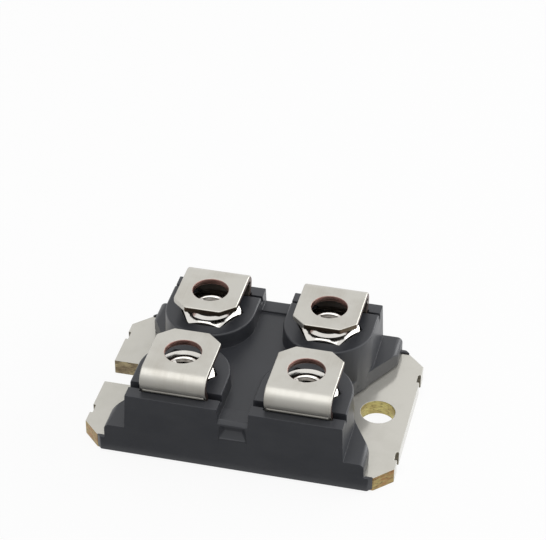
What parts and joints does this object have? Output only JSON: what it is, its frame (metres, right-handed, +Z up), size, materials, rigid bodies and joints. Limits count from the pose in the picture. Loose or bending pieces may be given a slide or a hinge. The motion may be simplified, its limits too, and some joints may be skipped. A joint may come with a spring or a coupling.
{
  "type": "power mosfet module",
  "caption": "Isolated power transistor module: dark moulded case on a plated base plate, bent screw tabs over captive nuts, and a mounting hole and open slot at its ends.",
  "frame": {"origin": "centre of the underside of the base plate", "axes": "+X along the base plate towards its closed mounting hole, -Y towards the drain and gate terminals, +Z up from the mounting face"},
  "size_m": [0.038, 0.0252, 0.012],
  "materials": {
    "plated_base": "satin nickel plate over copper, bare at the sheared edges",
    "moulded_case": "dark grey moulded plastic with a fine matt texture",
    "adhesive": "cured adhesive",
    "plated_terminal": "satin nickel plate over copper",
    "plated_nut": "bright nickel plate",
    "solder": "dull solder",
    "bare_copper": "bare copper",
    "ceramic": "white alumina",
    "silicon": "polished silicon",
    "bond_wire": "drawn aluminium wire",
    "gel": "clear soft silicone"
  },
  "bodies": {
    "root": {"base_plate": "plated_base", "housing": "moulded_case", "case_adhesive": "adhesive", "drain_terminal": "plated_terminal", "source_terminal": "plated_terminal", "gate_terminal": "plated_terminal", "source_sense_terminal": "plated_terminal", "drain_nut": "plated_nut", "source_nut": "plated_nut", "gate_nut": "plated_nut", "source_sense_nut": "plated_nut", "substrate_solder": "solder", "substrate_base_copper": "bare_copper", "substrate_ceramic": "ceramic", "drain_pad": "bare_copper", "source_pad": "bare_copper", "gate_pad": "bare_copper", "source_sense_pad": "bare_copper", "die_solder": "solder", "mosfet_die": "silicon", "foot_solder": "solder", "source_bond_wires": "bond_wire", "gate_bond_wire": "bond_wire", "source_sense_bond_wire": "bond_wire", "silicone_gel": "gel"}
  },
  "joints": []
}
